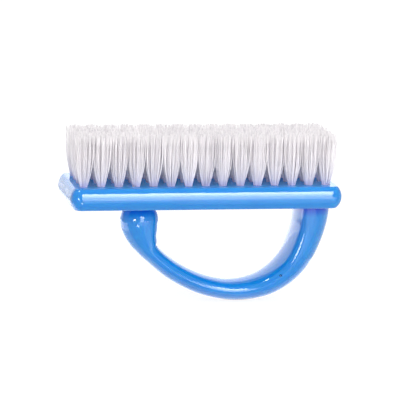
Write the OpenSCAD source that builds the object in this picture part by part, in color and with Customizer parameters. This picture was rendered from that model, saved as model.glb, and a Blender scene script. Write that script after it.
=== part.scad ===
// Nail brush: a one-piece moulded back with a hooked finger handle under it, and
// bristle tufts set in blind holes, each held down by a flat wire anchor.
// Lengths are in millimetres. X runs along the back, Y across it, Z up to the tips.
// The origin is under the middle of the back, at the handle's lowest point.

/* [Back] */
// Length of the back over its bulged ends
back_length = 94; // [80:0.5:120]
// Width of the back over its bulged sides
back_width = 32.8; // [27:0.2:45]
// Thickness of the back between its two flat faces
back_thickness = 7.5; // [6.5:0.1:12]
// How far the rounded edge stands out past the flat faces
edge_bulge = 1.65; // [0.8:0.05:2.6]
// Radius between the bulged edge and each flat face
edge_rounding = 0.7; // [0.3:0.05:1.2]
// Radius of the back's corners, seen from above
corner_radius = 4; // [3:0.25:8]

/* [Handle] */
// From the underside of the back down to the handle's lowest point
handle_drop = 34.8; // [30:0.2:44]
// From the middle of the root to the middle of the knob, along the back
handle_reach = 60.8; // [50:0.2:66]
// From the end of the back to the middle of the root
root_inset = 7; // [6.5:0.05:10]
// How far the root runs up inside the back
root_sink = 2; // [1:0.1:3.5]
// Radius where the root runs into the underside of the back
root_rounding = 1.2; // [0.6:0.1:2]
// Thickness of the handle where it leaves the back
root_thickness = 12.2; // [9:0.1:13]
// Thickness of the handle at its lower bend
bend_thickness = 9.8; // [7:0.1:12]
// Thickness of the handle at its lowest point
grip_thickness = 7.1; // [5:0.1:10]
// Thickness of the handle at its neck, before the knob
neck_thickness = 5.8; // [4:0.1:8]
// Thickness of the handle where it swells into the knob
swell_thickness = 10.6; // [8:0.1:12]
// Width of the handle where it leaves the back
root_width = 19; // [12:0.2:22]
// Width of the handle at its lower bend
bend_width = 18; // [12:0.2:22]
// Width of the handle at its lowest point
grip_width = 13.2; // [9:0.2:18]
// Width of the handle at its neck
neck_width = 12; // [8:0.2:16]
// Radius between the handle's low inner side and its front and back
inner_rounding = 2.8; // [1.6:0.1:3.2]
// How far the low inner side has turned where it meets that rounding, in degrees
inner_slope = 9; // [4:1:20]
// Diameter of the knob at the free end
knob_diameter = 13.2; // [10.6:0.2:16]
// From the underside of the back down to the middle of the knob
knob_drop = 6.1; // [5:0.1:7.4]
// Gap between the underside of the back and the flat top of the knob
knob_gap = 1; // [0.6:0.1:2.5]
// Radius round the flat top of the knob
knob_rounding = 0.9; // [0.4:0.1:1.6]

/* [Tufts] */
// Number of tufts along the back
tuft_ranks = 15; // [5:1:15]
// Number of tufts across the back
tuft_rows = 4; // [2:1:4]
// From the end of the back to the middle of the nearest tufts
end_margin = 5; // [4.4:0.1:8]
// From the side of the back to the middle of the nearest tufts
side_margin = 6.5; // [5.4:0.1:8]
// Diameter of each tuft hole
hole_diameter = 2.8; // [2.4:0.05:3.4]
// Depth of each tuft hole
hole_depth = 5; // [4.2:0.1:5.4]
// From the top face of the back up to the trimmed tips
bristle_length = 17.5; // [10:0.5:25]
// Number of strands in a tuft
strands_per_tuft = 8; // [5:1:8]
// Thickness of a strand where it leaves the tuft's root
strand_root_thickness = 0.5; // [0.3:0.05:0.5]
// Thickness of a strand at its tip
strand_tip_thickness = 0.9; // [0.5:0.05:1]
// Between the middles of the nearest strands of two neighbouring tufts, at their tips
tip_gap = 1.2; // [1.1:0.1:2.4]
// How far a tuft's packed root stands above the top face
root_stand = 0.3; // [0.1:0.05:1]

/* [Anchors] */
// Thickness of the flat anchor wire
anchor_thickness = 0.35; // [0.2:0.05:0.5]
// Height of an anchor
anchor_height = 1.6; // [1:0.1:2]
// How far each end of an anchor bites into the wall of its hole
anchor_bite = 0.3; // [0.2:0.05:0.5]
// Height of the folded bristles that lie under an anchor
fold_height = 1.2; // [0.8:0.1:1.6]
// Angle between an anchor and the length of the back, in degrees
anchor_turn = 45; // [0:5:90]
// Clearance between the back, a tuft's root and its anchor
seat_clearance = 0.05; // [0.02:0.01:0.1]

/* [Hidden] */
$fn = 48;

// Overrun of every cut past the face that it opens
overrun = 0.5;
// How far a strand is rooted in the packed root of its tuft
strand_sink = 0.2;

underside_z = handle_drop;
top_z = underside_z + back_thickness;
tip_z = top_z + bristle_length;
hole_floor_z = top_z - hole_depth;
anchor_z = hole_floor_z + fold_height;
anchor_length = hole_diameter + 2 * anchor_bite;

// The bulge's arc, and the middle of each rounding that runs from it into a flat face
edge_arc_radius = (pow(back_thickness / 2, 2) + pow(edge_bulge, 2)) / (2 * edge_bulge);
rounding_arc_radius = edge_arc_radius - edge_rounding;
rounding_lift = back_thickness / 2 - edge_rounding;
rounding_inset = edge_arc_radius - sqrt(pow(rounding_arc_radius, 2) - pow(rounding_lift, 2));
// Steps round the bulge and round each of its roundings
bulge_steps = 10;
edge_steps = 3;

rank_pitch = (back_length - 2 * end_margin) / (tuft_ranks - 1);
row_pitch = (back_width - 2 * side_margin) / (tuft_rows - 1);
tuft_spread = min(rank_pitch, row_pitch) - tip_gap;

root_x = back_length / 2 - root_inset;
knob_x = root_x - handle_reach;
knob_z = underside_z - knob_drop;
centre_drop = handle_drop - grip_thickness / 2;

// Places on the handle's middle line, from the root to just before the knob: the share of
// the reach along the back, and the share of the drop below the underside
handle_path_shares = [
    [0, 0],
    [0.025, 0.353],
    [0.11, 0.7],
    [0.255, 0.927],
    [0.441, 1],
    [0.625, 0.939],
    [0.798, 0.776],
    [0.928, 0.57],
    [0.97, 0.451],
    [0.992, 0.33]
];
path_x = [for (place = handle_path_shares) root_x - place[0] * handle_reach, knob_x];
path_z = [for (place = handle_path_shares) underside_z - place[1] * centre_drop, knob_z];

// Thickness and width of the handle at those places and at the knob
path_thickness = [
    root_thickness,
    halfway(root_thickness, bend_thickness),
    bend_thickness,
    halfway(bend_thickness, grip_thickness),
    grip_thickness,
    halfway(grip_thickness, neck_thickness),
    neck_thickness,
    neck_thickness,
    halfway(neck_thickness, swell_thickness),
    swell_thickness,
    knob_diameter
];
path_width = [
    root_width,
    halfway(root_width, bend_width),
    bend_width,
    halfway(bend_width, grip_width),
    grip_width,
    halfway(grip_width, neck_width),
    neck_width,
    neck_width,
    neck_width,
    halfway(neck_width, knob_diameter),
    knob_diameter
];

// At those places and at the knob: 0 where the handle's inner side is low, 1 where it is round
path_roundness_shares = [0, 0.1, 0.3, 0.4, 0.45, 0.5, 0.55, 0.7, 0.85, 0.95, 1];
// Where the low inner side has its crest, as a share of half the handle's thickness
inner_crest_share = 0.87;

// Steps between neighbouring places, on the root's rounding, on the knob's dome and on the
// rounding of its top, and points round a ring
steps_per_place = 6;
root_steps = 5;
dome_steps = 8;
knob_steps = 3;
section_sides = 32;
// Angle at which the root's rounding leaves the underside
root_start_angle = 15;

// Height share and spread share of a strand's rings: where it leaves the root, where the
// tuft has opened out, and the tip
strand_ring_shares = [[0, 0], [0.45, 0.92], [1, 1]];
strand_sides = 3;
golden_angle = 137.5;
turn_per_rank = 97;
turn_per_row = 53;

function label(number) = number < 10 ? str("0", number) : str(number);
TUFT_NODES = [for (rank = [1:tuft_ranks]) str("tuft_rank_", label(rank))];
ANCHOR_NODES = [for (rank = [1:tuft_ranks]) str("anchor_rank_", label(rank))];

function halfway(first, second) = (first + second) / 2;

// The slope of a list of values at one place. The share scales the slope at both ends.
function slope_at(values, place, end_share) =
    place == 0 ? (values[1] - values[0]) * end_share
    : place == len(values) - 1 ? (values[place] - values[place - 1]) * end_share
    : (values[place + 1] - values[place - 1]) / 2;

// A smooth curve through a list of values, read at t, which counts places
function smooth(values, t, end_share) =
    let (
        place = min(floor(t), len(values) - 2),
        u = t - place,
        v = 1 - u
    )
    values[place] * v * v * (1 + 2 * u)
    + slope_at(values, place, end_share) * u * v * v
    + values[place + 1] * u * u * (3 - 2 * u)
    - slope_at(values, place + 1, end_share) * u * u * v;

function blend(first, second, share) = first + (second - first) * share;

// A point of the handle's low section, from its middle towards the loop and across: a slight
// crown inside up to 45 degrees, then a rounded corner, and half an oval outside
function low_section_point(angle, thickness, width) =
    let (
        turn = abs(angle),
        side = sign(angle),
        reach = width / 2 - inner_rounding * (1 - sin(inner_slope)),
        crown = reach * tan(inner_slope) / 2,
        crest = inner_crest_share * thickness / 2,
        corner_end = crest - crown - inner_rounding * cos(inner_slope)
    )
    turn < 45 ? let (share = turn / 45) [crest - crown * share * share, side * reach * share]
    : turn < 90 ? let (corner = blend(inner_slope, 90, turn / 45 - 1)) [
        corner_end + inner_rounding * cos(corner),
        side * (width / 2 - inner_rounding * (1 - sin(corner)))
    ]
    : [
        corner_end - (thickness / 2 + corner_end) * sin(turn - 90),
        side * cos(turn - 90) * width / 2
    ];

// A point of the handle's section where it is round by a share
function section_point(angle, thickness, width, roundness) =
    blend(
        low_section_point(angle, thickness, width),
        [cos(angle) * thickness / 2, sin(angle) * width / 2],
        roundness
    );

// One ring of the handle, from its outer side round: its middle, the direction of the handle
// there, and its section
function section_ring(x, z, along, thickness, width, roundness) = [
    for (side = [0:section_sides - 1])
        let (
            angle = 360 * side / section_sides - 180,
            point = section_point(angle, thickness, width, roundness)
        )
        [x + along[1] * point[0], point[1], z - along[0] * point[0]]
];

function unit(direction) = direction / norm(direction);

// The handle's ring at t, widened by a flare towards the loop and to both sides. The middle
// line is upright at the root and at the knob.
function handle_ring(t, flare, lift) =
    let (
        step = 1 / 64,
        last = len(path_x) - 1,
        before = max(t - step, 0),
        after = min(t + step, last),
        along = t == 0 ? [0, -1] : t == last ? [0, 1] : unit([
            smooth(path_x, after, 0) - smooth(path_x, before, 0),
            smooth(path_z, after, 1) - smooth(path_z, before, 1)
        ])
    )
    section_ring(
        smooth(path_x, t, 0) - flare / 2,
        smooth(path_z, t, 1) + lift,
        along,
        smooth(path_thickness, t, 0) + flare,
        smooth(path_width, t, 0) + 2 * flare,
        smooth(path_roundness_shares, t, 0)
    );

// Rings of the root's rounding, from just under the back to where the plain handle starts. The
// first is buried inside the back.
function root_rings() =
    let (drop_per_place = path_z[0] - path_z[1])
    concat(
        [handle_ring(0, root_rounding * (1 - sin(root_start_angle)), root_sink)],
        [
            for (step = [0:root_steps])
                let (
                    angle = blend(root_start_angle, 90, step / root_steps),
                    drop = root_rounding * (cos(root_start_angle) - cos(angle))
                )
                handle_ring(drop / drop_per_place, root_rounding * (1 - sin(angle)), 0)
        ]
    );

// A round ring of the knob, at a radius and at a height above the knob's middle
function knob_ring(radius, height) =
    section_ring(knob_x, knob_z + height, [0, 1], 2 * radius, 2 * radius, 1);

// Rings of the knob's dome above its middle, up to the rounding of its flat top
function knob_rings() =
    let (
        radius = knob_diameter / 2,
        centre_height = knob_drop - knob_gap - knob_rounding,
        turn = asin(centre_height / (radius - knob_rounding)),
        centre_reach = (radius - knob_rounding) * cos(turn)
    )
    concat(
        [
            for (step = [1:dome_steps])
                let (angle = turn * step / dome_steps)
                knob_ring(radius * cos(angle), radius * sin(angle))
        ],
        [
            for (step = [1:knob_steps])
                let (angle = blend(turn, 90, step / knob_steps))
                knob_ring(
                    centre_reach + knob_rounding * cos(angle),
                    centre_height + knob_rounding * sin(angle)
                )
        ]
    );

// Triangles that skin a stack of rings and close both ends
function skin_faces(rings, sides) = concat(
    [
        for (ring = [0:rings - 2], side = [0:sides - 1], half = [0:1])
            let (
                here = ring * sides + side,
                beside = ring * sides + (side + 1) % sides
            )
            half == 0 ? [here, here + sides, beside + sides] : [here, beside + sides, beside]
    ],
    [for (side = [1:sides - 2]) [0, side, side + 1]],
    [for (side = [1:sides - 2]) let (end = (rings - 1) * sides) [end, end + side + 1, end + side]]
);

// Points on an arc, without its first one
function arc(centre, radius, start, end, steps) = [
    for (step = [1:steps])
        let (angle = blend(start, end, step / steps))
        centre + radius * [cos(angle), sin(angle)]
];

// Cross-section of the back from its middle out to one bulged edge
module edge_profile(reach) {
    rim = asin(rounding_lift / rounding_arc_radius);
    middle = back_thickness / 2;
    flat_reach = reach - rounding_inset;
    polygon(concat(
        [[0, 0], [flat_reach, 0]],
        arc([flat_reach, middle - rounding_lift], edge_rounding, -90, -rim, edge_steps),
        arc([reach - edge_arc_radius, middle], edge_arc_radius, -rim, rim, bulge_steps),
        arc([flat_reach, middle + rounding_lift], edge_rounding, rim, 90, edge_steps),
        [[0, back_thickness]]
    ));
}

// The back: a middle of full width, a strip at each end and a quarter turn at each corner
module back_plate() {
    straight_length = back_length - 2 * corner_radius;
    straight_width = back_width - 2 * corner_radius;
    translate([-straight_length / 2, 0, underside_z])
        rotate([90, 0, 90])
        linear_extrude(straight_length)
        union() {
            edge_profile(back_width / 2);
            mirror([1, 0]) edge_profile(back_width / 2);
        }
    for (end = [0, 1])
        mirror([end, 0, 0])
        translate([straight_length / 2, straight_width / 2, underside_z])
        rotate([90, 0, 0])
        linear_extrude(straight_width)
        edge_profile(corner_radius);
    for (end = [0, 1], side = [0, 1])
        mirror([end, 0, 0])
        mirror([0, side, 0])
        translate([straight_length / 2, straight_width / 2, underside_z])
        rotate_extrude(angle = 90)
        edge_profile(corner_radius);
}

module handle() {
    last = len(path_x) - 1;
    plain_start = root_rounding / (path_z[0] - path_z[1]);
    rings = concat(
        root_rings(),
        [
            for (step = [1:last * steps_per_place])
                let (t = step / steps_per_place)
                if (t > plain_start) handle_ring(t, 0, 0)
        ],
        knob_rings()
    );
    polyhedron([for (ring = rings) each ring], skin_faces(len(rings), section_sides));
}

// Puts its children at every tuft of one rank
module each_row() {
    for (row = [1:tuft_rows])
        translate([0, (row - (tuft_rows + 1) / 2) * row_pitch, 0])
            children();
}

module at_rank(rank) {
    translate([(rank - (tuft_ranks + 1) / 2) * rank_pitch, 0, 0])
        children();
}

// A blade as wide as an anchor, turned as the anchors are. It stands on the z given.
module blade(length, thickness, height, z) {
    translate([0, 0, z])
        rotate([0, 0, anchor_turn])
        translate([-length / 2, -thickness / 2, 0])
        cube([length, thickness, height]);
}

// One tuft hole with the two grooves that the anchor cuts on its way down
module tuft_hole() {
    translate([0, 0, hole_floor_z]) cylinder(d = hole_diameter, h = hole_depth + overrun);
    blade(
        anchor_length + 2 * seat_clearance,
        anchor_thickness + 2 * seat_clearance,
        hole_depth - fold_height + seat_clearance + overrun,
        anchor_z - seat_clearance
    );
}

module back_with_handle() {
    color("dodgerblue")
        difference() {
            union() {
                back_plate();
                handle();
            }
            for (rank = [1:tuft_ranks]) at_rank(rank) each_row() tuft_hole();
        }
}

// One strand, which leans out from the tuft's root and then stands upright
module strand(index, turn) {
    root_z = top_z + root_stand - strand_sink;
    root_reach = (hole_diameter - strand_root_thickness) / 2 - seat_clearance;
    place_share = sqrt((index + 0.5) / strands_per_tuft);
    angle = turn + index * golden_angle;
    points = [
        for (ring_share = strand_ring_shares, side = [0:strand_sides - 1])
            let (
                reach = place_share * (root_reach + ring_share[1] * (tuft_spread / 2 - root_reach)),
                thickness = strand_root_thickness
                    + ring_share[1] * (strand_tip_thickness - strand_root_thickness),
                corner = angle + 360 * side / strand_sides
            )
            [
                reach * cos(angle) + cos(corner) * thickness / 2,
                reach * sin(angle) + sin(corner) * thickness / 2,
                root_z + ring_share[0] * (tip_z - root_z)
            ]
    ];
    polyhedron(points, skin_faces(len(strand_ring_shares), strand_sides));
}

// One tuft: its root, folded and packed in the hole, with a slot where the anchor lies
// across the fold, and its strands
module tuft(turn) {
    root_floor_z = hole_floor_z + seat_clearance;
    difference() {
        translate([0, 0, root_floor_z])
            cylinder(d = hole_diameter - 2 * seat_clearance, h = top_z + root_stand - root_floor_z);
        blade(
            hole_diameter,
            anchor_thickness + 2 * seat_clearance,
            anchor_height + 2 * seat_clearance,
            anchor_z - seat_clearance
        );
    }
    for (index = [0:strands_per_tuft - 1]) strand(index, turn);
}

module tuft_rank(rank) {
    color("ghostwhite")
        at_rank(rank)
        for (row = [1:tuft_rows])
            translate([0, (row - (tuft_rows + 1) / 2) * row_pitch, 0])
                tuft(rank * turn_per_rank + row * turn_per_row);
}

module anchor_rank(rank) {
    color("goldenrod")
        at_rank(rank)
        each_row()
        blade(anchor_length, anchor_thickness, anchor_height, anchor_z);
}

back_with_handle();
for (rank = [1:tuft_ranks]) {
    tuft_rank(rank);
    anchor_rank(rank);
}
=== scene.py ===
import math
import random

import bmesh
import bpy
from bpy.props import FloatProperty, FloatVectorProperty, IntProperty, PointerProperty
from mathutils import Matrix, Vector


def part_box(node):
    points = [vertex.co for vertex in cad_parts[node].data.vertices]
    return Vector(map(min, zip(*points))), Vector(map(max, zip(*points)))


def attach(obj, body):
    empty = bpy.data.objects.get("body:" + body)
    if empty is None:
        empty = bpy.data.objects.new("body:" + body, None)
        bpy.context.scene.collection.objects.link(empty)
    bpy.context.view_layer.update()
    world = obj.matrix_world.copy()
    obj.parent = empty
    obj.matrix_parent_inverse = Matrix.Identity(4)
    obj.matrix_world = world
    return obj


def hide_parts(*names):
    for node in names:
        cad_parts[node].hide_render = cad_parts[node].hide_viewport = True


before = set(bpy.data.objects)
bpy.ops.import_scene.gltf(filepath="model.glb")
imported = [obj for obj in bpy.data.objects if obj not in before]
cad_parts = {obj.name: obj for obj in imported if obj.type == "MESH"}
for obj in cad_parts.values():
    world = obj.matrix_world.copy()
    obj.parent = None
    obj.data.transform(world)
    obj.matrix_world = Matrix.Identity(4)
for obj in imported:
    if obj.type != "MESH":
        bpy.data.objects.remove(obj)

bl_info = {
    "name": "Nail Brush",
    "version": (1, 0, 0),
    "blender": (4, 5, 0),
    "location": "View3D > Sidebar > Nail Brush",
    "description": "Models a nail brush's moulded back, bristle tufts and studio round its solids",
    "category": "Object",
}

MM = 0.001
BODY = "root"

# Lowest and highest corners of the moulding and of the first rank's tufts and anchors, and
# the height of the back's top face
MOULDING_LOW, MOULDING_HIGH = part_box("back_with_handle")
TUFT_LOW, TUFT_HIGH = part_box("tuft_rank_01")
ANCHOR_LOW, ANCHOR_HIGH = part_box("anchor_rank_01")
TOP_Z = MOULDING_HIGH.z

# Places on the handle's middle line, from its root to just before the knob: the share of its
# reach along the back, and the share of its drop below the underside
HANDLE_PATH_SHARES = [
    (0, 0),
    (0.025, 0.353),
    (0.11, 0.7),
    (0.255, 0.927),
    (0.441, 1),
    (0.625, 0.939),
    (0.798, 0.776),
    (0.928, 0.57),
    (0.967, 0.451),
    (0.989, 0.33),
]
# At the same places, and at the knob: 0 where the handle's inner side is low, 1 where it is round
HANDLE_ROUNDNESS_SHARES = [0, 0.1, 0.3, 0.35, 0.35, 0.4, 0.45, 0.6, 0.8, 0.95, 1]
# Steps between neighbouring places on that line, points round each ring, and how many times
# as far along as the root's rounding reaches the first ring beyond it lies
STEPS_PER_PLACE = 8
RING_POINTS = 64
FIRST_RING = 1.2
# The gate mark's place on that line, and its angle round the section
GATE_PLACE = 2.54
GATE_ANGLE = -0.435 * math.pi
# Steps round a corner of the back, round its bulge, and round any small rounding
CORNER_STEPS = 14
BULGE_STEPS = 10
ROUNDING_STEPS = 5
# Steps round the mouth of a hole, how far round they go, and the hole's sides
MOUTH_STEPS = 4
MOUTH_TURN = math.radians(85)
HOLE_SIDES = 24
# How far a cut runs past the face that it opens, and the handle's flare past the underside
OVERRUN = 0.5 * MM
SEAM_DEPTH = OVERRUN / 20
# A face is flat where its normal's z is more than this, and an edge is sharp past this angle
UPRIGHT = 0.99
SHARP_ANGLE = math.radians(32)
# How much large faces outweigh small ones in the smooth shading, where 50 is not at all
LARGE_FACE_WEIGHT = 90
# Thickness of the anchors' wire, and how far an anchor is turned from the back's length
ANCHOR_THICKNESS = 0.35 * MM
ANCHOR_TURN = math.radians(45)

# Sides of a filament, and its bends in the part packed in its hole and in its standing part
FILAMENT_SIDES = 4
ROOT_BENDS = 3
FILAMENT_BENDS = 6
# Turn from one filament of a tuft to the next, and how much it varies
GOLDEN_ANGLE = math.radians(137.5)
TURN_VARIATION = 0.3
# Locks of filaments between the middle of a tuft and its outside
LOCKS_ACROSS = 2
# Room that the filaments leave at the wall of their hole and at the anchor
WALL_ROOM = 0.04 * MM
ANCHOR_ROOM = 0.02 * MM
# How near the middle a filament is folded, as a share of its place beside the anchor
FOLD_SHARE = 0.75
# The share of filaments that stray, how much further they lean, and how far filaments bow
STRAY_SHARE = 0.05
STRAY_LEAN = 2.6
BOW_SHARE = 0.5
# Powers above 1 crowd a filament's bends towards its root, let it lean late, trim only few
# tips low, and lower only the tips at the outside of a tuft
BEND_POWER = 1.4
LEAN_POWER = 1.5
TRIM_POWER = 2
DOME_POWER = 6
# The attribute that holds each filament's tone, and how far the tone of a whole tuft varies
TONE = "tone"
TUFT_TONE = 0.12
# Painted shade on the nylon, from the root of a tuft to its tip: lavender-blue at the roots, as
# painted blue bounce light from the plastic, and darker at the tips
NYLON_SHADE_TINTS = [
    (0, (0.70, 0.70, 1)),
    (0.12, (0.9, 0.89, 1)),
    (0.3, (0.97, 0.96, 1)),
    (0.6, (1, 0.98, 0.99)),
    (1, (0.86, 0.845, 0.85)),
]

BLACK = (0, 0, 0)
WHITE = (1, 1, 1)
# Painted shade in the gate mark's pit
GATE_SHADE_COLOUR = (0, 0.015, 0.06)
# How strongly the grey over the wear at the back's ends, painted shade and reflection, covers them
WEAR_AND_SHADE_GREYING = 1.8
# How bright the wire's patina is, as a share of the wire
PATINA_SHADE = 0.55

# The floor: its side, how bright it is by itself, the thin grey of it that takes the brush's
# shadow, and the grey that throws light back on the brush
FLOOR_SIZE = 12
FLOOR_BRIGHTNESS = 0.92
SHADOW_GREY = (0.14, 0.14, 0.14, 1)
FLOOR_GREY = (0.85, 0.85, 0.85, 1)
# The camera's sensor in millimetres, and the nearest that the camera sees
SENSOR_WIDTH = 36
NEAREST_SEEN = 10 * MM
# Watts per square metre with which a lamp looks white
WHITE_POWER = 4
# How far the lamps stand from the point that they face, in the middle of the back
LAMP_DISTANCE = 0.9
LAMP_AIM = Vector((0, 0, TOP_Z - 4 * MM))
# Each lamp's name, azimuths, elevations and brightness, whether it lights matt surfaces or
# shows in glossy ones instead, and whether the brush throws a shadow in its light
LAMPS = [
    ("overhead", (-70, 70), (58, 102), 0.7, True, True),
    ("front_fill", (-45, 60), (-5, 38), 0.85, True, True),
    ("soft_fill", (-60, 60), (20, 80), 0.95, True, False),
    ("back_fill", (145, 215), (15, 55), 1.6, True, True),
    ("window_high", (-4, 28), (26, 41), 12.6, False, True),
    ("window_middle", (-4, 22), (14, 26), 8.4, False, True),
    ("window_low", (-4, 18), (-2, 14), 5.2, False, True),
    ("left_window", (-46, -31), (-4, 9), 14.0, False, True),
    ("high_lamp", (-62, -50), (52, 64), 25.0, False, True),
    ("back_glow", (138, 228), (-2, 36), 1.1, False, True),
]
# Name, range of x, range of y and brightness of each part of the table that glossy surfaces
# show lighter or darker than the rest, and how high above the floor it lies
TABLE_GLOWS = [
    ("table_behind_far", (-1.8, 0.1), (0.45, 5.0), 1.1),
    ("table_behind_middle", (-0.35, 0.1), (0.2, 0.45), 1.1),
    ("table_behind_near", (-0.06, 0.06), (-0.01, 0.2), 0.8),
    ("table_left", (-0.125, -0.06), (-0.01, 0.14), 2.2),
    ("table_spot", (-0.053, -0.036), (-0.092, -0.068), 11.0),
    ("table_front_far", (-0.03, 0.45), (-0.88, -0.24), 3.6),
    ("table_front_near", (-0.06, 0.2), (-0.24, -0.14), 1.3),
    ("table_front_close", (-0.06, 0.12), (-0.14, -0.09), 1.1),
    ("table_front_foot", (0.0, 0.12), (-0.09, -0.05), 0.6),
]
GLOW_HEIGHT = 1 * MM


# The kinds of property in the groups below, each with its name, description and default


def a_length(name, description, default):
    return FloatProperty(
        name=name, description=description, default=default, subtype="DISTANCE", unit="LENGTH"
    )


def an_angle(name, description, default):
    return FloatProperty(name=name, description=description, default=default, subtype="ANGLE")


def a_count(name, description, default):
    return IntProperty(name=name, description=description, default=default)


def a_factor(name, description, default):
    return FloatProperty(
        name=name, description=description, default=default, subtype="FACTOR", min=0, max=1
    )


def a_colour(name, description, default):
    return FloatVectorProperty(
        name=name, description=description, default=default, subtype="COLOR", size=3, min=0, max=1
    )


class BackSizes(bpy.types.PropertyGroup):
    """Sizes of the moulded back and of the holes in it"""

    length: a_length(
        "Length", "Length of the back over its bulged ends", MOULDING_HIGH.x - MOULDING_LOW.x
    )
    width: a_length(
        "Width", "Width of the back over its bulged sides", MOULDING_HIGH.y - MOULDING_LOW.y
    )
    thickness: a_length("Thickness", "Thickness of the back between its two flat faces", 7.5 * MM)
    edge_bulge: a_length(
        "Edge bulge", "How far the rounded edge stands out past the flat faces", 1.65 * MM
    )
    edge_rounding: a_length(
        "Edge rounding", "Radius between the bulged edge and each flat face", 0.7 * MM
    )
    corner_radius: a_length(
        "Corner radius", "Radius of the back's corners, seen from above", 4 * MM
    )
    hole_diameter: a_length("Hole diameter", "Diameter of each tuft hole", 2.8 * MM)
    hole_depth: a_length("Hole depth", "Depth of each tuft hole", 5 * MM)
    hole_rounding: a_length("Hole rounding", "Radius round the mouth of each tuft hole", 0.2 * MM)
    groove_clearance: a_length(
        "Groove clearance", "Clearance round an anchor in the grooves that it cuts", 0.05 * MM
    )


class HandleSizes(bpy.types.PropertyGroup):
    """Sizes of the hooked finger handle"""

    reach: a_length(
        "Reach", "From the middle of the root to the middle of the knob, along the back", 60.8 * MM
    )
    root_inset: a_length("Root inset", "From the end of the back to the middle of the root", 7 * MM)
    root_rounding: a_length(
        "Root rounding", "Radius where the handle runs into the underside of the back", 1.2 * MM
    )
    root_sink: a_length("Root sink", "How far the root runs up inside the back", 2 * MM)
    root_thickness: a_length(
        "Root thickness", "Thickness of the handle where it leaves the back", 11.7 * MM
    )
    bend_thickness: a_length(
        "Bend thickness", "Thickness of the handle at its lower bend", 9.8 * MM
    )
    grip_thickness: a_length(
        "Grip thickness", "Thickness of the handle at its lowest point", 7.1 * MM
    )
    neck_thickness: a_length(
        "Neck thickness", "Thickness of the handle at its neck, before the knob", 6.6 * MM
    )
    swell_thickness: a_length(
        "Swell thickness", "Thickness of the handle where it swells into the knob", 11.8 * MM
    )
    root_width: a_length("Root width", "Width of the handle where it leaves the back", 19 * MM)
    bend_width: a_length("Bend width", "Width of the handle at its lower bend", 18 * MM)
    grip_width: a_length("Grip width", "Width of the handle at its lowest point", 13.2 * MM)
    neck_width: a_length("Neck width", "Width of the handle at its neck", 12 * MM)
    knob_diameter: a_length("Knob diameter", "Diameter of the knob at the free end", 13.2 * MM)
    knob_drop: a_length(
        "Knob drop", "From the underside of the back down to the middle of the knob", 6.1 * MM
    )
    knob_gap: a_length(
        "Knob gap", "Gap between the underside of the back and the flat top of the knob", 1 * MM
    )
    knob_rounding: a_length("Knob rounding", "Radius round the flat top of the knob", 0.9 * MM)
    inner_rounding: a_length(
        "Inner rounding",
        "Radius between the handle's low inner side and its front and back",
        2.8 * MM,
    )
    inner_slope: an_angle(
        "Inner slope",
        "How far the low inner side has turned where it meets its rounding",
        math.radians(9),
    )
    gate_diameter: a_length(
        "Gate mark",
        "Diameter of the small pit that the mould's gate leaves in the handle",
        0.9 * MM,
    )


class TuftSizes(bpy.types.PropertyGroup):
    """Sizes and counts of the bristle tufts"""

    ranks: a_count("Ranks", "Number of tufts along the back", 15)
    rows: a_count("Rows", "Number of tufts across the back", 4)
    rank_pitch: a_length("Rank pitch", "Distance between neighbouring tufts along the back", 6 * MM)
    row_pitch: a_length(
        "Row pitch", "Distance between neighbouring tufts across the back", 6.6 * MM
    )
    filaments: a_count("Filaments", "Number of filament ends in a tuft", 80)
    filament_diameter: a_length("Filament diameter", "Diameter of one nylon filament", 0.24 * MM)
    spread_width: a_length("Spread width", "Width of a tuft where it has opened out", 6.3 * MM)
    spread_height: a_length(
        "Spread height", "Height above the back at which a tuft has opened out", 10 * MM
    )
    lean: a_length("Lean", "How far the tips stray from where they would stand", 0.2 * MM)
    clumping: a_factor(
        "Clumping", "How far towards their neighbours the tips of a lock draw together", 0.38
    )
    trim: a_length("Trim", "How far below the others the lowest trimmed tips are", 0.35 * MM)
    tip_dome: a_length(
        "Tip dome", "How far below the middle ones the tips at a tuft's outside are", 0.5 * MM
    )
    seed: a_count("Seed", "Seed of the filaments' small irregularities", 7)


class Finishes(bpy.types.PropertyGroup):
    """Colours and gloss of the brush"""

    plastic: a_colour("Plastic", "Colour of the moulded plastic", (0.005, 0.215, 0.6))
    plastic_pale: a_colour(
        "Pale plastic", "Colour of the plastic's paler clouds", (0.010, 0.24, 0.64)
    )
    plastic_shaded: a_colour(
        "Shaded plastic", "Colour of the plastic where the back shades the handle", (0, 0.04, 0.52)
    )
    # Grey painted over the scuff wear at the back's ends: painted shade and reflection of the end
    # faces
    plastic_wear_and_shade: a_colour(
        "Scuffed plastic",
        "Colour of the plastic where the back's ends are scuffed",
        (0.19, 0.2, 0.31),
    )
    plastic_roughness: a_factor(
        "Plastic roughness", "Roughness of the moulded plastic where nothing has rubbed it", 0.05
    )
    nylon: a_colour("Nylon", "Colour of the palest filaments", (0.99, 0.97, 0.985))
    nylon_dull: a_colour("Dull nylon", "Colour of the dullest filaments", (0.80, 0.78, 0.81))
    wire: a_colour("Wire", "Colour of the anchor wire", (0.75, 0.58, 0.27))


class StudioSettings(bpy.types.PropertyGroup):
    """Camera and light of the studio"""

    azimuth: an_angle(
        "Azimuth",
        "Camera's turn about the brush, from straight in front towards its right side",
        math.radians(-12.09),
    )
    elevation: an_angle(
        "Elevation", "Camera's height above the brush, as an angle", math.radians(11.524)
    )
    roll: an_angle("Roll", "Camera's turn about its own line of sight", math.radians(1.829))
    distance: a_length(
        "Distance", "Distance from the camera to the point that it looks at", 944.2 * MM
    )
    aim: FloatVectorProperty(
        name="Aim",
        description="Point that the camera looks at",
        subtype="XYZ",
        size=3,
        unit="LENGTH",
        default=(0.31 * MM, 0, 35.182 * MM),
    )
    lens: FloatProperty(
        name="Lens",
        description="Focal length of the camera in millimetres",
        default=247.46,
    )
    ambient: FloatProperty(
        name="Ambient",
        description="Strength of the light that comes from all round",
        default=0.42,
    )


def deselect_all():
    bpy.ops.object.select_all(action="DESELECT")


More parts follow.
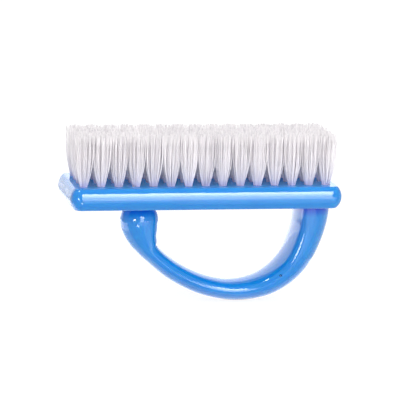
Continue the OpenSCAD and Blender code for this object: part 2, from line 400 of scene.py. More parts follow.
def select_only(piece):
    deselect_all()
    piece.select_set(True)
    bpy.context.view_layer.objects.active = piece


def edit(piece):
    bpy.context.view_layer.objects.active = piece
    bpy.ops.object.mode_set(mode="EDIT")


def finish_editing():
    bpy.ops.object.mode_set(mode="OBJECT")


def select_all():
    bpy.ops.mesh.select_all(action="SELECT")


def face_outwards():
    """Turns all the faces of the piece in edit mode outwards."""
    select_all()
    bpy.ops.mesh.normals_make_consistent(inside=False)


def extrude_up(height):
    bpy.ops.mesh.extrude_region_move(TRANSFORM_OT_translate={"value": (0, 0, height)})


def select_parts(piece, kind, wanted):
    """Selects, in edit mode, only the faces or edges that the test wants."""
    bpy.ops.mesh.select_mode(type=kind)
    shape = bmesh.from_edit_mesh(piece.data)
    for part in shape.faces if kind == "FACE" else shape.edges:
        part.select_set(wanted(part))
    bmesh.update_edit_mesh(piece.data)


def apply_modifiers(piece):
    select_only(piece)
    for modifier in list(piece.modifiers):
        bpy.ops.object.modifier_apply(modifier=modifier.name)


def combine(piece, tool, operation):
    """Joins the tool's solid to the piece, or cuts it out, and deletes the tool."""
    boolean = piece.modifiers.new(operation.title(), "BOOLEAN")
    boolean.operation = operation
    boolean.solver = "EXACT"
    boolean.object = tool
    apply_modifiers(piece)
    bpy.data.objects.remove(tool)


def place_in_mesh(piece):
    """Puts the object's origin at the frame's origin and keeps its place in its mesh."""
    select_only(piece)
    bpy.ops.object.transform_apply(location=True, rotation=True, scale=True)


def rounded_steps(centre, radius, first_angle, last_angle, steps):
    """Points (inward, up) on an arc about a centre (inward, up), angles from level to upright."""
    turn = last_angle - first_angle
    angles = [first_angle + turn * step / steps for step in range(steps + 1)]
    return [
        (centre[0] - radius * math.cos(angle), centre[1] + radius * math.sin(angle))
        for angle in angles
    ]


def edge_outline(back, middle_band):
    """Points (inward, up) of half the back's edge, from its middle band to its flat face."""
    half = back.thickness / 2
    radius = (half**2 + back.edge_bulge**2) / (2 * back.edge_bulge)
    inner_radius = radius - back.edge_rounding
    lift = half - back.edge_rounding
    turn = math.asin(lift / inner_radius)
    rounding_centre = (radius - inner_radius * math.cos(turn), lift)
    bulge_start = math.asin(middle_band / 2 / radius)
    bulge = rounded_steps((radius, 0), radius, bulge_start, turn, BULGE_STEPS)
    rounding = rounded_steps(
        rounding_centre, back.edge_rounding, turn, math.pi / 2, ROUNDING_STEPS
    )
    flat_rim = (rounding[-1][0] + back.edge_rounding, half)
    return bulge + rounding[1:] + [flat_rim]


def model_back_plate(back):
    """The back: a rounded plane at its middle, inset step by step up and down its bulged edge."""
    middle_band = 0.1 * MM
    middle_z = TOP_Z - back.thickness / 2
    deselect_all()
    bpy.ops.mesh.primitive_plane_add(size=1, location=(0, 0, middle_z - middle_band / 2))
    plate = bpy.context.object
    plate.scale = (back.length, back.width, 1)
    place_in_mesh(plate)
    edit(plate)
    select_all()
    bpy.ops.mesh.bevel(offset=back.corner_radius, segments=CORNER_STEPS, affect="VERTICES")
    extrude_up(middle_band)
    face_outwards()
    outline = edge_outline(back, middle_band)
    for side in (1, -1):
        select_parts(plate, "FACE", lambda face: face.normal.z * side > UPRIGHT)
        for before, after in zip(outline, outline[1:]):
            bpy.ops.mesh.inset(
                thickness=after[0] - before[0],
                depth=after[1] - before[1],
                use_even_offset=True,
            )
    finish_editing()
    return plate


def smooth_value(values, place, end_share):
    """A smooth curve through a list of values. The share scales its slope at both ends."""

    def slope(at):
        if at == 0:
            return (values[1] - values[0]) * end_share
        if at == len(values) - 1:
            return (values[at] - values[at - 1]) * end_share
        return (values[at + 1] - values[at - 1]) / 2

    start = min(math.floor(place), len(values) - 2)
    u = place - start
    v = 1 - u
    return (
        values[start] * v * v * (1 + 2 * u)
        + slope(start) * u * v * v
        + values[start + 1] * u * u * (3 - 2 * u)
        - slope(start + 1) * u * u * v
    )


def with_halfway(*values):
    """The values, and between each two of them the one halfway."""
    spaced = [values[0]]
    for before, after in zip(values, values[1:]):
        spaced += [(before + after) / 2, after]
    return spaced


class HandleLine:
    """The handle's middle line and its sizes along it, read at a place counted from the root."""

    def __init__(self, back, handle):
        self.root_x = MOULDING_HIGH.x - handle.root_inset
        self.underside_z = TOP_Z - back.thickness
        self.knob_x = self.root_x - handle.reach
        self.knob_z = self.underside_z - handle.knob_drop
        drop = self.underside_z - MOULDING_LOW.z - handle.grip_thickness / 2
        self.x = [self.root_x - share[0] * handle.reach for share in HANDLE_PATH_SHARES]
        self.z = [self.underside_z - share[1] * drop for share in HANDLE_PATH_SHARES]
        self.x.append(self.knob_x)
        self.z.append(self.knob_z)
        self.last = len(self.x) - 1
        self.thickness = with_halfway(
            handle.root_thickness,
            handle.bend_thickness,
            handle.grip_thickness,
            handle.neck_thickness,
        )
        self.thickness += with_halfway(handle.neck_thickness, handle.swell_thickness)
        self.thickness.append(handle.knob_diameter)
        self.width = with_halfway(
            handle.root_width, handle.bend_width, handle.grip_width, handle.neck_width
        )
        self.width.append(handle.neck_width)
        self.width += with_halfway(handle.neck_width, handle.knob_diameter)
        self.roundness = HANDLE_ROUNDNESS_SHARES

    def point(self, place):
        return smooth_value(self.x, place, 0), smooth_value(self.z, place, 1)

    def turn(self, place):
        """The turn about Y that sets a level ring square to the line."""
        if place == 0:
            return math.pi
        if place == self.last:
            return 0
        step = 1 / 64
        before = self.point(max(place - step, 0))
        after = self.point(min(place + step, self.last))
        return math.atan2(after[0] - before[0], after[1] - before[1])

    def ring(self, place):
        """x, z, turn, thickness, width and roundness of the ring at a place."""
        x, z = self.point(place)
        thickness = smooth_value(self.thickness, place, 0)
        width = smooth_value(self.width, place, 0)
        return x, z, self.turn(place), thickness, width, smooth_value(self.roundness, place, 0)


def root_rings(line, handle):
    """Rings that flare inwards and sideways from the handle's root into the underside."""
    radius = handle.root_rounding
    slope = line.z[0] - line.z[1]
    steps = 2 * ROUNDING_STEPS
    rings = []
    for step in range(steps + 1):
        angle = math.pi / 2 * step / steps
        drop = radius * (1 - math.cos(angle))
        flare = radius * (1 - math.sin(angle))
        x, _, turn, thickness, width, roundness = line.ring(drop / slope)
        z = line.underside_z - drop
        rings.append((x - flare / 2, z, turn, thickness + flare, width + 2 * flare, roundness))
    x, z, *shape = rings[0]
    buried = (x, z + handle.root_sink, *shape)
    just_inside = (x, z + SEAM_DEPTH, *shape)
    return [buried, just_inside] + rings[1:]


def knob_rings(line, handle):
    """Rings of the knob's dome above its middle, up to its rounded flat top."""
    radius = handle.knob_diameter / 2
    top = handle.knob_drop - handle.knob_gap
    rounding = handle.knob_rounding
    turn = math.asin((top - rounding) / (radius - rounding))
    rounding_centre = (radius - (radius - rounding) * math.cos(turn), top - rounding)
    dome = rounded_steps((radius, 0), radius, 0, turn, BULGE_STEPS)
    edge = rounded_steps(rounding_centre, rounding, turn, math.pi / 2, ROUNDING_STEPS)
    return [
        (line.knob_x, line.knob_z + up, 0, 2 * (radius - inward), 2 * (radius - inward), 1)
        for inward, up in dome[1:] + edge[1:]
    ]


def section_point(angle, thickness, width, roundness, handle):
    """Point (towards the loop's inside, across) of the handle's section: low inside with
    rounded corners, and half an oval outside. Where it is round, it is a plain oval."""
    half_thick = thickness / 2
    half_wide = width / 2
    corner = handle.inner_rounding
    slope = handle.inner_slope
    reach = half_wide - corner * (1 - math.sin(slope))
    crown = reach * math.tan(slope) / 2
    foot = half_thick - crown
    corner_end = foot - corner * math.cos(slope)
    side = math.copysign(1, angle)
    share = abs(angle) / math.pi
    if share < 1 / 4:
        inside = foot + crown * (1 - (share * 4) ** 2)
        across = reach * share * 4
    elif share < 1 / 2:
        turn = slope + (share * 4 - 1) * (math.pi / 2 - slope)
        inside = corner_end + corner * math.cos(turn)
        across = half_wide - corner * (1 - math.sin(turn))
    else:
        turn = (share - 1 / 2) * math.pi
        inside = corner_end - (half_thick + corner_end) * math.sin(turn)
        across = half_wide * math.cos(turn)
    return (
        inside + (half_thick * math.cos(angle) - inside) * roundness,
        side * across + (half_wide * math.sin(angle) - side * across) * roundness,
    )


def skin_point(ring, angle, handle):
    """The point of the handle's skin at an angle round a ring."""
    x, z, turn, *section = ring
    inside, across = section_point(angle, *section, handle)
    return x + math.cos(turn) * inside, across, z - math.sin(turn) * inside


def model_handle(back, handle):
    """The hooked handle: rings set square along its middle line and bridged into one skin."""
    line = HandleLine(back, handle)
    flared = root_rings(line, handle)
    rounded_until = handle.root_rounding / (line.z[0] - line.z[1])
    steps = [step / STEPS_PER_PLACE for step in range(line.last * STEPS_PER_PLACE + 1)]
    swept = [line.ring(place) for place in steps if place > FIRST_RING * rounded_until]
    rings = flared + swept + knob_rings(line, handle)
    deselect_all()
    bpy.ops.mesh.primitive_circle_add(vertices=RING_POINTS, radius=1, fill_type="NOTHING")
    skin = bpy.context.object
    edit(skin)
    for _ in rings[1:]:
        bpy.ops.mesh.primitive_circle_add(vertices=RING_POINTS, radius=1, fill_type="NOTHING")
    shape = bmesh.from_edit_mesh(skin.data)
    for index, vertex in enumerate(shape.verts):
        angle = math.atan2(vertex.co.y, vertex.co.x)
        vertex.co = skin_point(rings[index // RING_POINTS], angle, handle)
    bmesh.update_edit_mesh(skin.data)
    select_all()
    bpy.ops.mesh.bridge_edge_loops(type="SINGLE")
    select_all()
    bpy.ops.mesh.fill_holes(sides=0)
    face_outwards()
    finish_editing()
    place_in_mesh(skin)
    return skin


def repeat_at_tufts(piece, tufts):
    """Copies a piece that stands at the first tuft to every other tuft."""
    for name, count, step in (
        ("Ranks", tufts.ranks, (tufts.rank_pitch, 0, 0)),
        ("Rows", tufts.rows, (0, tufts.row_pitch, 0)),
    ):
        array = piece.modifiers.new(name, "ARRAY")
        array.count = count
        array.use_relative_offset = False
        array.use_constant_offset = True
        array.constant_offset_displace = step
    apply_modifiers(piece)


def tuft_place(tufts, rank, row):
    """Middle of a tuft, with ranks and rows counted from zero."""
    return (
        (rank - (tufts.ranks - 1) / 2) * tufts.rank_pitch,
        (row - (tufts.rows - 1) / 2) * tufts.row_pitch,
    )


def model_hole_cutters(back, tufts):
    """Round cutters for the tuft holes, each flared where it opens the top face."""
    x, y = tuft_place(tufts, 0, 0)
    radius = back.hole_diameter / 2
    straight = back.hole_depth - back.hole_rounding
    deselect_all()
    bpy.ops.mesh.primitive_cylinder_add(
        vertices=HOLE_SIDES,
        radius=radius,
        depth=straight,
        location=(x, y, TOP_Z - back.hole_depth + straight / 2),
    )
    cutter = bpy.context.object
    edit(cutter)
    select_parts(cutter, "FACE", lambda face: face.normal.z > UPRIGHT)
    rounding = back.hole_rounding
    mouth = rounded_steps((rounding, -rounding), rounding, 0, MOUTH_TURN, MOUTH_STEPS)
    for before, after in zip(mouth, mouth[1:]):
        grow = (radius + after[0]) / (radius + before[0])
        extrude_up(after[1] - before[1])
        bpy.ops.transform.resize(value=(grow, grow, 1), center_override=(x, y, TOP_Z))
    extrude_up(OVERRUN)
    finish_editing()
    place_in_mesh(cutter)
    repeat_at_tufts(cutter, tufts)
    return cutter


def model_groove_cutters(back, tufts):
    """Upright slots across each hole, which the anchors cut on their way down."""
    length = (ANCHOR_HIGH.x - ANCHOR_LOW.x) / math.cos(ANCHOR_TURN) - ANCHOR_THICKNESS
    x, y = tuft_place(tufts, 0, 0)
    low_z = ANCHOR_LOW.z - back.groove_clearance
    high_z = TOP_Z + OVERRUN
    deselect_all()
    bpy.ops.mesh.primitive_cube_add(
        size=1,
        location=(x, y, (low_z + high_z) / 2),
        rotation=(0, 0, ANCHOR_TURN),
    )
    cutter = bpy.context.object
    cutter.scale = (
        length + 2 * back.groove_clearance,
        ANCHOR_THICKNESS + 2 * back.groove_clearance,
        high_z - low_z,
    )
    place_in_mesh(cutter)
    repeat_at_tufts(cutter, tufts)
    return cutter


def gate_place(back, handle):
    """Where the gate mark lies, on the front of the handle at its lower bend."""
    return skin_point(HandleLine(back, handle).ring(GATE_PLACE), GATE_ANGLE, handle)


def model_gate_cutter(back, handle):
    """A small ball that cuts the gate mark into the handle."""
    deselect_all()
    bpy.ops.mesh.primitive_ico_sphere_add(
        subdivisions=3,
        radius=handle.gate_diameter / 2,
        location=gate_place(back, handle),
    )
    cutter = bpy.context.object
    place_in_mesh(cutter)
    return cutter


def shade_smooth(piece):
    """Smooth shading that keeps flat faces flat and sharp edges sharp."""
    select_only(piece)
    bpy.ops.object.shade_smooth_by_angle(angle=SHARP_ANGLE)
    weighted = piece.modifiers.new("Flat faces", "WEIGHTED_NORMAL")
    weighted.keep_sharp = True
    weighted.weight = LARGE_FACE_WEIGHT
    apply_modifiers(piece)


class NodeTree:
    """A new node tree for a material or the world. Its methods add nodes, whose inputs are
    values or sockets to link, and most of them give back the socket to go on from."""

    def __init__(self, owner):
        self.owner = owner
        owner.use_nodes = True
        self.tree = owner.node_tree
        self.tree.nodes.clear()

    def add(self, kind, inputs, **settings):
        node = self.tree.nodes.new("ShaderNode" + kind)
        for name, value in settings.items():
            setattr(node, name, value)
        for name, value in inputs.items():
            if isinstance(value, bpy.types.NodeSocket):
                self.tree.links.new(value, node.inputs[name])
            else:
                node.inputs[name].default_value = value
        return node

    def object_place(self):
        return self.add("TexCoord", {}).outputs["Object"]

    def split(self, place):
        """The place's x, y and z."""
        return tuple(self.add("SeparateXYZ", {"Vector": place}).outputs)

    def stretch(self, place, scale, turn=0):
        """The place, turned about Z and scaled, for a pattern that runs in one direction."""
        inputs = {"Vector": place, "Rotation": (0, 0, turn), "Scale": scale}
        return self.add("Mapping", inputs).outputs["Vector"]

    def noise(self, place, scale, detail, roughness):
        inputs = {"Vector": place, "Scale": scale, "Detail": detail, "Roughness": roughness}
        return self.add("TexNoise", inputs).outputs["Fac"]

    def map_range(self, value, start, end, low=0, high=1):
        """A value that goes from low to high while the given one goes from start to end."""
        inputs = {"Value": value, "From Min": start, "From Max": end, "To Min": low, "To Max": high}
        return self.add("MapRange", inputs).outputs["Result"]

    def calculate(self, operation, *values, clamp=False):
        inputs = dict(enumerate(values))
        return self.add("Math", inputs, operation=operation, use_clamp=clamp).outputs["Value"]

    def colour_ramp(self, value, stops):
        """A colour for the value, from stops of position and colour."""
        ramp = self.add("ValToRGB", {"Fac": value})
        elements = ramp.color_ramp.elements
        while len(elements) < len(stops):
            elements.new(0.5)
        for element, (position, colour) in zip(elements, stops):
            element.position = position
            element.color = (*colour, 1)
        return ramp.outputs["Color"]

    def mix(self, share, colour, other, blend="MIX"):
        """A share of the other colour laid over the first."""
        if not isinstance(other, bpy.types.NodeSocket):
            other = (*other, 1)
        inputs = {"Factor": share, "A": colour, "B": other}
        return self.add("Mix", inputs, data_type="RGBA", blend_type=blend).outputs["Result"]

    def bump(self, height, strength, distance, normal=None):
        inputs = {"Height": height, "Strength": strength, "Distance": distance}
        if normal is not None:
            inputs["Normal"] = normal
        return self.add("Bump", inputs).outputs["Normal"]

    def finish(self, inputs):
        """Gives the surface its one shader, and gives back the finished material."""
        shader = self.add("BsdfPrincipled", inputs)
        self.add("OutputMaterial", {"Surface": shader.outputs["BSDF"]})
        return self.owner


def plastic_material(finishes, underside_z, gate, gate_diameter):
    """Glossy moulded plastic with faint clouds, flow ripples and fine rub marks. It has painted
    shade, deeper in colour, where the back shades the handle, grey painted shade and reflection
    over the scuff wear at its ends, and painted shade in its gate mark's pit."""
    nodes = NodeTree(bpy.data.materials.new("blue_plastic"))
    place = nodes.object_place()
    x, y, z = nodes.split(place)

    # Rub marks along the brush, and speckled scuffs that begin 2.5 mm before the back's ends, which
    # also carry the grey painted shade and reflection there
    long_marks = nodes.stretch(place, (60, 900, 900))
    rubs = nodes.noise(long_marks, scale=1, detail=5, roughness=0.65)
    smoothest = finishes.plastic_roughness
    rubbed = nodes.map_range(rubs, 0.35, 0.75, smoothest, smoothest + 0.1)
    end_x = MOULDING_HIGH.x
    near_end = nodes.map_range(nodes.calculate("ABSOLUTE", x), end_x - 2.5 * MM, end_x - 0.5 * MM)
    specks = nodes.noise(place, scale=1500, detail=3, roughness=0.7)
    scuff_and_shade_specks = nodes.map_range(specks, 0.35, 0.65, 0.05, 0.45)
    wear_and_shade = nodes.calculate("MULTIPLY", near_end, scuff_and_shade_specks)

    # Clouds, the painted shade just under the back, grey painted shade and reflection over the
    # ends' scuffs between their corners, and painted shade in the gate mark's pit
    clouds = nodes.noise(place, scale=90, detail=3, roughness=0.5)
    colour = nodes.colour_ramp(clouds, [(0.35, finishes.plastic), (0.7, finishes.plastic_pale)])
    under_back = nodes.map_range(z, underside_z - 4.2 * MM, underside_z + 0.5 * MM)
    shade = nodes.colour_ramp(under_back, [(0, BLACK), (0.68, WHITE), (0.84, WHITE), (0.9, BLACK)])
    colour = nodes.mix(shade, colour, finishes.plastic_shaded)
    side_y = MOULDING_HIGH.y
    off_corner = nodes.map_range(nodes.calculate("ABSOLUTE", y), side_y - 1.5 * MM, side_y - 3 * MM)
    # Painted shade and reflection: grey laid over the ends' scuff wear
    wear_and_shade_grey = nodes.calculate("MULTIPLY", wear_and_shade, off_corner)
    wear_and_shade_grey = nodes.calculate("MULTIPLY", wear_and_shade_grey, WEAR_AND_SHADE_GREYING, clamp=True)
    colour = nodes.mix(wear_and_shade_grey, colour, finishes.plastic_wear_and_shade)
    # Painted shade darkens the gate mark's pit
    from_gate = nodes.add("VectorMath", {0: place, 1: gate}, operation="DISTANCE").outputs["Value"]
    painted_gate_shade = nodes.map_range(from_gate, 0.55 * gate_diameter, 0.45 * gate_diameter)
    colour = nodes.mix(painted_gate_shade, colour, GATE_SHADE_COLOUR)

    # Flow ripples, the rub marks, and a fine grain that only the back has
    ripples = nodes.noise(place, scale=260, detail=2, roughness=0.5)
    normal = nodes.bump(ripples, strength=0.22, distance=0.12 * MM)
    normal = nodes.bump(rubs, strength=0.12, distance=0.03 * MM, normal=normal)
    grain = nodes.noise(place, scale=1300, detail=2, roughness=0.5)
    on_back = nodes.map_range(z, underside_z, underside_z + 1 * MM, 0, 0.3)
    normal = nodes.bump(grain, strength=on_back, distance=0.05 * MM, normal=normal)
    return nodes.finish(
        {
            "Base Color": colour,
            "Roughness": nodes.calculate("ADD", rubbed, wear_and_shade),
            "Normal": normal,
            "IOR": 1.5,
            "Subsurface Weight": 0.35,
            "Subsurface Radius": (0.1, 0.5, 2.5),
            "Subsurface Scale": 1.5 * MM,
        }
    )


def nylon_material(finishes):
    """Translucent nylon: each filament has its own tone, and painted shade runs from root to tip,
    lavender-blue at the roots and darker at the tips.
    """
    nodes = NodeTree(bpy.data.materials.new("white_nylon"))
    tone = nodes.add("Attribute", {}, attribute_name=TONE).outputs["Fac"]
    colour = nodes.colour_ramp(
        tone, [(0, finishes.nylon_dull), (0.55, finishes.nylon), (1, finishes.nylon)]
    )
    height = nodes.map_range(nodes.split(nodes.object_place())[2], TOP_Z, TUFT_HIGH.z)
    # Painted shade: lavender-blue at the roots, darker at the tips
    colour = nodes.mix(1, colour, nodes.colour_ramp(height, NYLON_SHADE_TINTS), "MULTIPLY")
    return nodes.finish(
        {
            "Base Color": colour,
            "Roughness": 0.35,
            "IOR": 1.5,
            "Subsurface Weight": 0.3,
            "Subsurface Radius": (1, 1, 1),
            "Subsurface Scale": 0.3 * MM,
        }
    )


def wire_material(finishes):
    """Drawn brass wire: fine lines along the wire, and a duller, darker patina in places."""
    nodes = NodeTree(bpy.data.materials.new("anchor_wire"))
    place = nodes.object_place()
    patina = nodes.noise(place, scale=1400, detail=4, roughness=0.6)
    dark = tuple(PATINA_SHADE * channel for channel in finishes.wire)
    along_wire = nodes.stretch(place, (300, 9000, 9000), -ANCHOR_TURN)
    lines = nodes.noise(along_wire, scale=1, detail=3, roughness=0.6)
    return nodes.finish(
        {
            "Base Color": nodes.colour_ramp(patina, [(0.3, dark), (0.6, finishes.wire)]),
            "Metallic": 1,
            "Roughness": nodes.map_range(lines, 0, 1, 0.25, 0.5),
            "Normal": nodes.bump(lines, strength=0.3, distance=0.01 * MM),
        }
    )


def background_mix(nodes, white, lit):
    """Shows the white shader to the camera, in reflections and through glass, else the other."""
    path = nodes.add("LightPath", {}).outputs
    shows = nodes.calculate("MAXIMUM", path["Is Camera Ray"], path["Is Glossy Ray"])
    shows = nodes.calculate("MAXIMUM", shows, path["Is Transmission Ray"])
    mix = nodes.add("MixShader", {0: shows, 1: lit.outputs[0], 2: white.outputs[0]})
    return mix.outputs["Shader"]


def floor_material():
    """A white floor: mostly white by itself, with a thin share that takes the brush's shadow."""
    nodes = NodeTree(bpy.data.materials.new("studio_floor"))
    white = nodes.add("Emission", {"Strength": FLOOR_BRIGHTNESS})
    paint = nodes.add("BsdfDiffuse", {"Color": SHADOW_GREY})
    matt = nodes.add("BsdfDiffuse", {"Color": FLOOR_GREY})
    shadowed = nodes.add("AddShader", {0: white.outputs[0], 1: paint.outputs[0]})
    nodes.add("OutputMaterial", {"Surface": background_mix(nodes, shadowed, matt)})
    return nodes.owner


def set_world(ambient):
    """A white surrounding that lights the brush less strongly than it shows."""
    nodes = NodeTree(bpy.data.worlds.new("studio_world"))
    white = nodes.add("Background", {})
    dim = nodes.add("Background", {"Strength": ambient})
    nodes.add("OutputWorld", {"Surface": background_mix(nodes, white, dim)})
    bpy.context.scene.world = nodes.owner


def direction(azimuth, elevation):
    """Unit direction from the brush. Azimuth 0 is straight in front, 90 at its right end."""
    level = math.cos(elevation)
    return Vector((math.sin(azimuth) * level, -math.cos(azimuth) * level, math.sin(elevation)))


def add_area_lamp(name, place, rotation, size, brightness):
    """A rectangular lamp that the camera doesn't see. A brightness of 1 looks white."""
    deselect_all()
    bpy.ops.object.light_add(type="AREA", location=place, rotation=rotation)
    lamp = bpy.context.object
    lamp.name = name
    lamp.visible_camera = False
    lamp.data.shape = "RECTANGLE"
    lamp.data.size, lamp.data.size_y = size
    lamp.data.energy = WHITE_POWER * size[0] * size[1] * brightness
    return lamp


def add_softbox(name, azimuths, elevations, brightness, lights, shadow):
    """A lamp that fills a range of azimuths and elevations, in degrees."""
    elevation = math.radians(sum(elevations) / 2)
    towards = direction(math.radians(sum(azimuths) / 2), elevation)
    half_wide = math.radians(azimuths[1] - azimuths[0]) / 2
    half_high = math.radians(elevations[1] - elevations[0]) / 2
    wide = 2 * LAMP_DISTANCE * math.tan(half_wide) * math.cos(elevation)
    high = 2 * LAMP_DISTANCE * math.tan(half_high)
    lamp = add_area_lamp(
        name,
        LAMP_AIM + towards * LAMP_DISTANCE,
        towards.to_track_quat("Z", "Y").to_euler(),
        (wide, high),
        brightness,
    )
    lamp.visible_diffuse = lights
    lamp.visible_glossy = not lights
    lamp.data.use_shadow = shadow


def add_table_glow(name, across, away, brightness):
    """A part of the table, from x to x and y to y, that only glossy surfaces show."""
    glow = add_area_lamp(
        name,
        (sum(across) / 2, sum(away) / 2, GLOW_HEIGHT),
        (math.pi, 0, 0),
        (across[1] - across[0], away[1] - away[0]),
        brightness,
    )
    glow.visible_diffuse = False


def ride_and_replace(piece, nodes):
    """Says what a finished piece moves with, and which nodes it stands for."""
    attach(piece, BODY)
    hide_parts(*nodes)


class BRUSH_OT_moulding(bpy.types.Operator):
    """Model the one-piece back and handle with its tuft holes, and give it its plastic"""

    bl_idname = "brush.moulding"
    bl_label = "Back and Handle"

    def execute(self, context):
        scene = context.scene
        back, handle, tufts = scene.brush_back, scene.brush_handle, scene.brush_tufts
        moulding = model_back_plate(back)
        combine(moulding, model_handle(back, handle), "UNION")
        combine(moulding, model_hole_cutters(back, tufts), "DIFFERENCE")
        combine(moulding, model_groove_cutters(back, tufts), "DIFFERENCE")
        combine(moulding, model_gate_cutter(back, handle), "DIFFERENCE")
        shade_smooth(moulding)
        moulding.name = "moulded_back_and_handle"
        underside_z = TOP_Z - back.thickness
        gate = gate_place(back, handle)
        moulding.data.materials.append(
            plastic_material(scene.brush_finishes, underside_z, gate, handle.gate_diameter)
        )
        ride_and_replace(moulding, ["back_with_handle"])
        return {"FINISHED"}


def model_filament(tufts):
    """One straight filament of unit height, four-sided, cut across at each of its bends."""
    deselect_all()
    radius = tufts.filament_diameter / 2
    bpy.ops.mesh.primitive_cylinder_add(
        vertices=FILAMENT_SIDES, radius=radius, depth=1, location=(0, 0, 0.5)
    )
    filament = bpy.context.object
    filament.name = "filament_pattern"
    edit(filament)
    select_parts(
        filament, "EDGE", lambda edge: abs(edge.verts[0].co.z - edge.verts[1].co.z) > 0.5
    )
    bpy.ops.mesh.subdivide(number_cuts=FILAMENT_BENDS + ROOT_BENDS - 1)
    finish_editing()
    place_in_mesh(filament)
    bpy.ops.object.shade_smooth()
    return filament


class TuftShape:
    """Where the filaments of a tuft run, from the fold under the anchor to the trimmed tips."""

    def __init__(self, back, tufts):
        self.tufts = tufts
        self.packed_reach = (back.hole_diameter - tufts.filament_diameter) / 2 - WALL_ROOM
        self.spread_reach = (tufts.spread_width - tufts.filament_diameter) / 2
        self.anchor_reach = (ANCHOR_THICKNESS + tufts.filament_diameter) / 2 + ANCHOR_ROOM

    def opening(self, height):
        """How many times wider than its root the tuft is at a height above the back. It widens
        fastest at its root and ends upright."""
        share = min(max(height / self.tufts.spread_height, 0), 1)
        widening = 1.5 * share - 0.5 * share**3
        return 1 + (self.spread_reach / self.packed_reach - 1) * widening

    def clear_of_anchor(self, place):
        """The place, moved sideways just clear of the anchor that crosses the tuft."""
        across = Vector((-math.sin(ANCHOR_TURN), math.cos(ANCHOR_TURN)))
        side = place.dot(across)
        if abs(side) >= self.anchor_reach:
            return place
        wanted = math.copysign(self.anchor_reach, side)
        moved = place + across * (wanted - side)
        return moved * min(1, self.packed_reach / moved.length)

    def bends(self, index, dice):
        """The points of one filament, from its fold up to its tip."""
        tufts = self.tufts
        share = math.sqrt((index + 0.5) / tufts.filaments)
        angle = index * GOLDEN_ANGLE + dice.uniform(-TURN_VARIATION, TURN_VARIATION)
        packed = Vector((math.cos(angle), math.sin(angle))) * share * self.packed_reach
        beside = self.clear_of_anchor(packed)
        stray = STRAY_LEAN if dice.random() < STRAY_SHARE else 1
        lean = Vector((dice.gauss(0, 1), dice.gauss(0, 1))) * tufts.lean * stray
        grain = self.packed_reach / LOCKS_ACROSS
        lock = Vector((round(packed.x / grain), round(packed.y / grain))) * grain
        bow = Vector((dice.gauss(0, 1), dice.gauss(0, 1))) * tufts.lean * BOW_SHARE
        tip_z = TUFT_HIGH.z - dice.random() ** TRIM_POWER * tufts.trim
        tip_z -= share**DOME_POWER * tufts.tip_dome
        points = [
            (*(beside * FOLD_SHARE), TUFT_LOW.z + tufts.filament_diameter / 2),
            (*beside, ANCHOR_LOW.z),
            (*beside, ANCHOR_HIGH.z),
            (*packed, TOP_Z),
        ]
        for bend in range(1, FILAMENT_BENDS + 1):
            rise = (bend / FILAMENT_BENDS) ** BEND_POWER
            height = rise * (tip_z - TOP_Z)
            stance = packed + (lock - packed) * tufts.clumping * rise
            side = stance * self.opening(height) + lean * rise**LEAN_POWER
            side = side + bow * math.sin(math.pi * rise)
            points.append((*side, TOP_Z + height))
        return [Vector(point) for point in points]


def plant_filament(shape, tone_layer, pattern, points, place, tone):
    """Adds a copy of the filament pattern to a tuft, bent through its points."""
    first = len(shape.verts)
    shape.from_mesh(pattern)
    shape.verts.ensure_lookup_table()
    last_bend = len(points) - 1
    for vertex in shape.verts[first:]:
        bend = points[round(vertex.co.z * last_bend)]
        vertex.co = (
            place[0] + bend.x + vertex.co.x,
            place[1] + bend.y + vertex.co.y,
            bend.z,
        )
        vertex[tone_layer] = tone


def model_rank(name, tuft_shape, pattern, rank, dice):
    """The tufts of one rank, each filament a copy of the pattern."""
    tufts = tuft_shape.tufts
    shape = bmesh.new()
    tone_layer = shape.verts.layers.float.new(TONE)
    for row in range(tufts.rows):
        place = tuft_place(tufts, rank, row)
        tuft_tone = dice.uniform(-TUFT_TONE, TUFT_TONE)
        for index in range(tufts.filaments):
            points = tuft_shape.bends(index, dice)
            tone = min(max(dice.random() + tuft_tone, 0), 1)
            plant_filament(shape, tone_layer, pattern, points, place, tone)
    mesh = bpy.data.meshes.new(name)
    shape.to_mesh(mesh)
    shape.free()
    piece = bpy.data.objects.new(name, mesh)
    bpy.context.scene.collection.objects.link(piece)
    return piece


class BRUSH_OT_bristles(bpy.types.Operator):
    """Model the nylon filaments of every tuft, rank by rank"""

    bl_idname = "brush.bristles"
    bl_label = "Bristle Tufts"

    def execute(self, context):
        scene = context.scene
        tufts = scene.brush_tufts
        tuft_shape = TuftShape(scene.brush_back, tufts)
        nylon = nylon_material(scene.brush_finishes)
        filament = model_filament(tufts)
        dice = random.Random(tufts.seed)
        for rank in range(tufts.ranks):
            name = f"bristles_rank_{rank + 1:02d}"
            piece = model_rank(name, tuft_shape, filament.data, rank, dice)
            piece.data.materials.append(nylon)
            ride_and_replace(piece, [f"tuft_rank_{rank + 1:02d}"])
        bpy.data.objects.remove(filament)
        return {"FINISHED"}


class BRUSH_OT_anchors(bpy.types.Operator):
    """Give the flat wire anchors their drawn brass"""

    bl_idname = "brush.anchors"
    bl_label = "Wire Anchors"

    def execute(self, context):
        brass = wire_material(context.scene.brush_finishes)
        for name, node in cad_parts.items():
            if name.startswith("anchor_rank_"):
                for slot in node.material_slots:
                    slot.material = brass
        return {"FINISHED"}


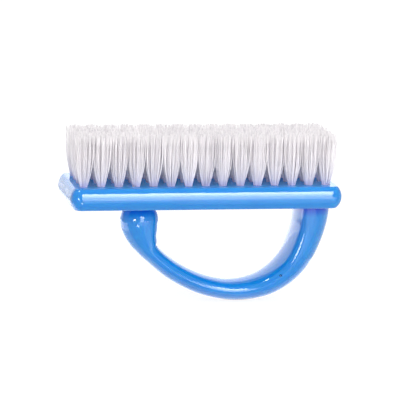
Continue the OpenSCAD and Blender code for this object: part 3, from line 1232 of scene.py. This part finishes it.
class BRUSH_OT_studio(bpy.types.Operator):
    """Set the white floor, the surrounding, the lamps and the camera"""

    bl_idname = "brush.studio"
    bl_label = "Studio"

    def execute(self, context):
        studio = context.scene.brush_studio
        context.scene.view_settings.view_transform = "Standard"
        deselect_all()
        bpy.ops.mesh.primitive_grid_add(x_subdivisions=8, y_subdivisions=8, size=FLOOR_SIZE)
        floor = bpy.context.object
        floor.name = "studio_floor"
        floor.data.materials.append(floor_material())
        set_world(studio.ambient)
        for lamp in LAMPS:
            add_softbox(*lamp)
        for glow in TABLE_GLOWS:
            add_table_glow(*glow)
        self.set_camera(context, studio)
        return {"FINISHED"}

    def set_camera(self, context, studio):
        """Stands the camera at its distance from the aim, facing it, and rolls it."""
        towards = direction(studio.azimuth, studio.elevation)
        level = Vector((0, 0, 1)).cross(towards).normalized()
        upright = towards.cross(level)
        right = math.cos(studio.roll) * level + math.sin(studio.roll) * upright
        up = towards.cross(right)
        bpy.ops.object.camera_add(location=Vector(studio.aim) + towards * studio.distance)
        camera = context.object
        camera.name = "studio_camera"
        camera.rotation_euler = Matrix((right, up, towards)).transposed().to_euler()
        camera.data.lens = studio.lens
        camera.data.sensor_width = SENSOR_WIDTH
        camera.data.clip_start = NEAREST_SEEN
        context.scene.camera = camera


class BRUSH_PT_panel(bpy.types.Panel):
    """Lists the pieces of the nail brush"""

    bl_idname = "BRUSH_PT_panel"
    bl_label = "Nail Brush"
    bl_space_type = "VIEW_3D"
    bl_region_type = "UI"
    bl_category = "Nail Brush"

    def draw(self, context):
        for operator in OPERATORS:
            self.layout.operator(operator.bl_idname)
        for group_name in GROUPS:
            group = getattr(context.scene, group_name)
            box = self.layout.box()
            for name in group.bl_rna.properties.keys():
                if name not in ("name", "rna_type"):
                    box.prop(group, name)


GROUPS = {
    "brush_back": BackSizes,
    "brush_handle": HandleSizes,
    "brush_tufts": TuftSizes,
    "brush_finishes": Finishes,
    "brush_studio": StudioSettings,
}
OPERATORS = (BRUSH_OT_moulding, BRUSH_OT_bristles, BRUSH_OT_anchors, BRUSH_OT_studio)
CLASSES = (*GROUPS.values(), *OPERATORS, BRUSH_PT_panel)


def register():
    for cls in CLASSES:
        bpy.utils.register_class(cls)
    for name, group in GROUPS.items():
        setattr(bpy.types.Scene, name, PointerProperty(type=group))


def unregister():
    for name in GROUPS:
        delattr(bpy.types.Scene, name)
    for cls in reversed(CLASSES):
        bpy.utils.unregister_class(cls)


def main():
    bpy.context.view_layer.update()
    register()
    bpy.ops.brush.moulding()
    bpy.ops.brush.bristles()
    bpy.ops.brush.anchors()
    bpy.ops.brush.studio()


if __name__ == "__main__":
    main()
